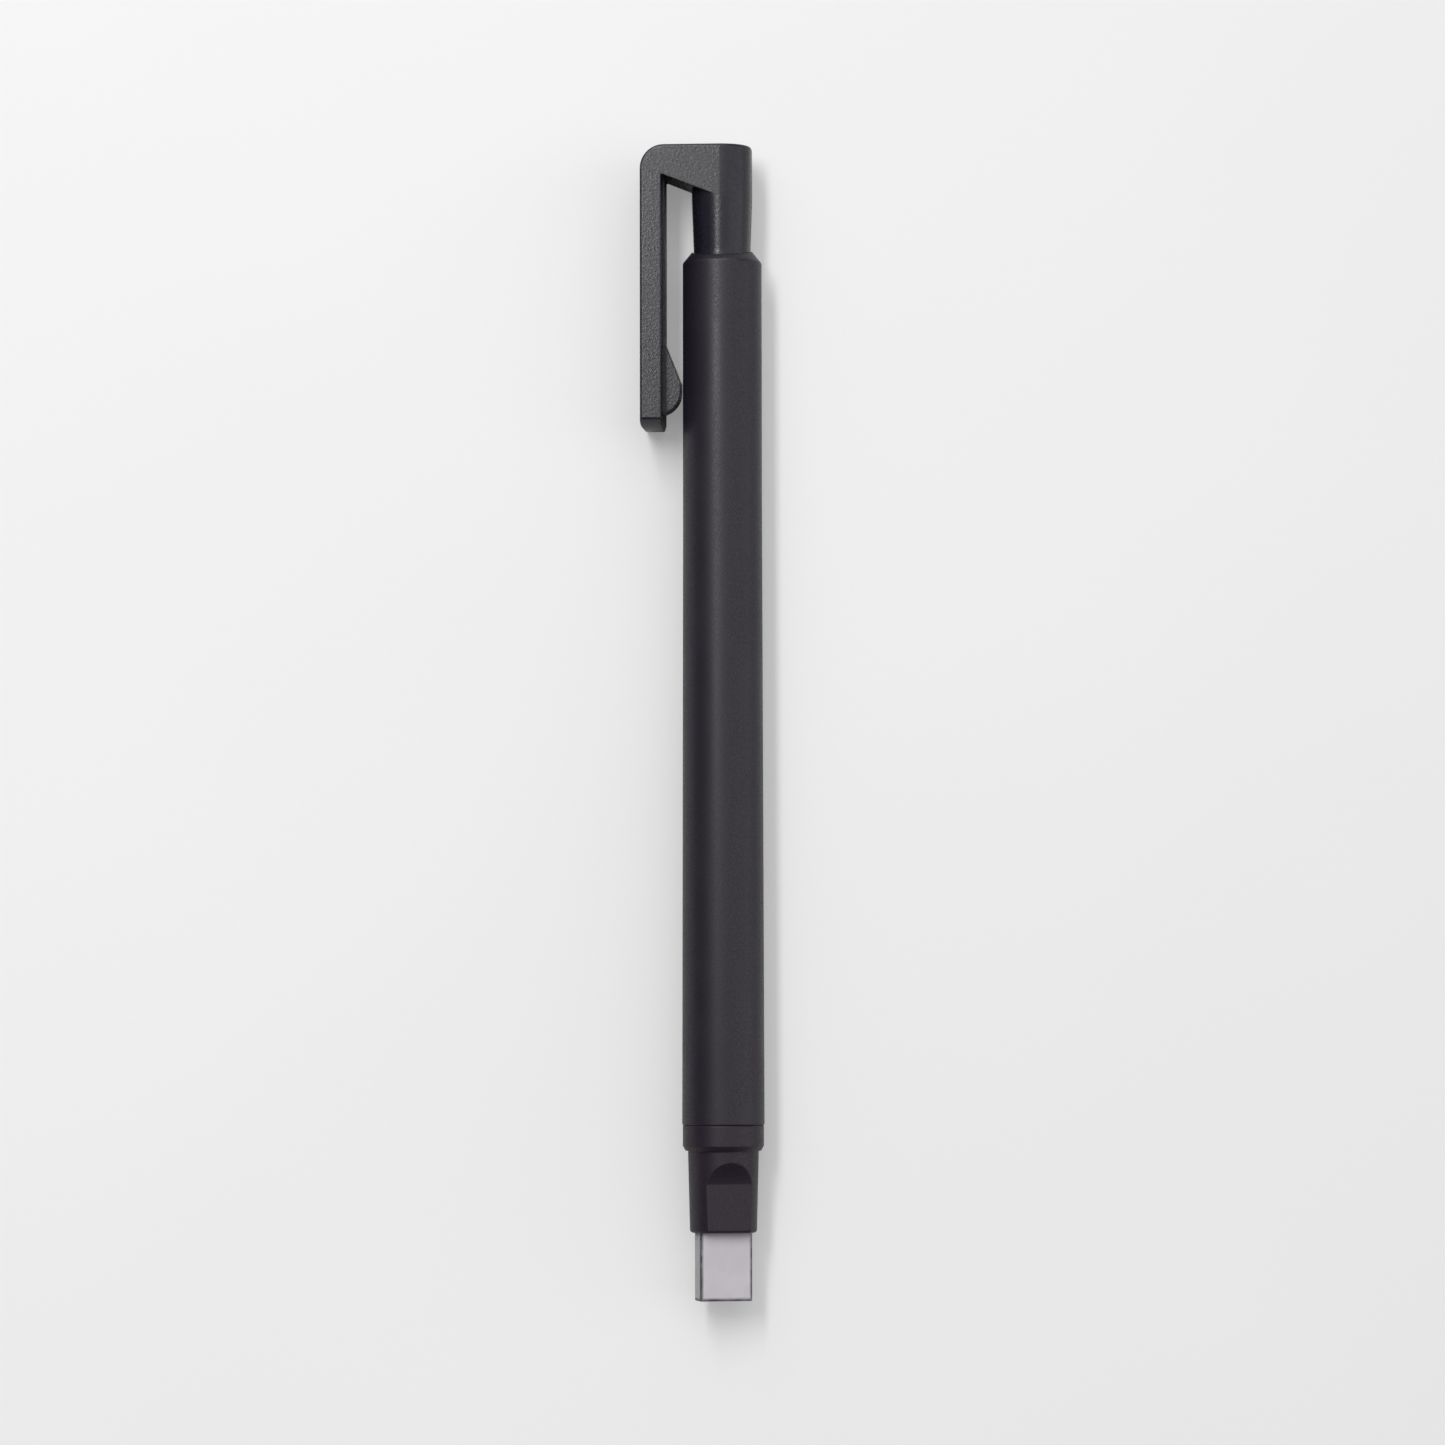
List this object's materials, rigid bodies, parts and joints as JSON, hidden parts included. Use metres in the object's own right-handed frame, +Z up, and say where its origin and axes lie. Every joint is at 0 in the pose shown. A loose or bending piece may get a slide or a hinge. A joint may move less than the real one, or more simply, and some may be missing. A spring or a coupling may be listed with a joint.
{
  "type": "eraser stick holder",
  "caption": "Slim push-button holder for a rectangular stick of soft eraser, with a pocket clip on the button, a collared nose with thumb flats and a clutch inside.",
  "frame": {"origin": "centre of the object's footprint on the table it lies on", "axes": "+Y along the pen from the eraser tip to the button, +Z up from the table, -X towards the clip"},
  "size_m": [0.0118, 0.111, 0.0079],
  "materials": {
    "black_barrel": "satin black moulded plastic",
    "black_nose": "satin black moulded plastic",
    "black_clip": "satin black moulded plastic",
    "eraser": "matt white soft eraser",
    "soft_ring": "matt dark elastomer",
    "inner_plastic": "natural moulded plastic",
    "brass": "turned brass",
    "spring_steel": "drawn wire"
  },
  "bodies": {
    "holder": {"barrel": "black_barrel", "nose_piece": "black_nose", "stick_retainer": "soft_ring", "chuck_sleeve": "brass"},
    "knock": {"knock_clip": "black_clip", "slide_tube": "inner_plastic", "chuck_hub": "inner_plastic", "chuck_spring": "spring_steel"},
    "ring": {"chuck_ring": "brass"},
    "upper_jaw": {"upper_jaw": "inner_plastic"},
    "lower_jaw": {"lower_jaw": "inner_plastic"},
    "stick": {"eraser_stick": "eraser"}
  },
  "joints": [
    {"name": "knock_slide", "type": "slide", "parent": "holder", "child": "knock", "axis": [0, -1, 0], "range_m": [0, 0.004], "stiffness_N_per_m": 200, "springref_m": -0.005, "deforming": ["chuck_spring"]},
    {"name": "ring_slide", "type": "slide", "parent": "holder", "child": "ring", "axis": [0, -1, 0], "range_m": [0, 0.00161]},
    {"name": "upper_jaw_swing", "type": "hinge", "parent": "knock", "child": "upper_jaw", "pos_m": [0.00233, -0.01558, 0.00542], "axis": [-0.9724, 0, 0.2334], "range_deg": [0, 1.02]},
    {"name": "lower_jaw_swing", "type": "hinge", "parent": "knock", "child": "lower_jaw", "pos_m": [0.00163, -0.01558, 0.00249], "axis": [0.9724, 0, -0.2334], "range_deg": [0, 1.02]},
    {"name": "eraser_feed", "type": "slide", "parent": "holder", "child": "stick", "axis": [0, -1, 0], "range_m": [-0.0065, 0.055]}
  ],
  "couplings": [
    {"joint": "ring_slide", "follows": "knock_slide", "ratio": 0.4},
    {"joint": "upper_jaw_swing", "follows": "knock_slide", "rad_per_m": 4.2131},
    {"joint": "lower_jaw_swing", "follows": "knock_slide", "rad_per_m": 4.2131}
  ]
}
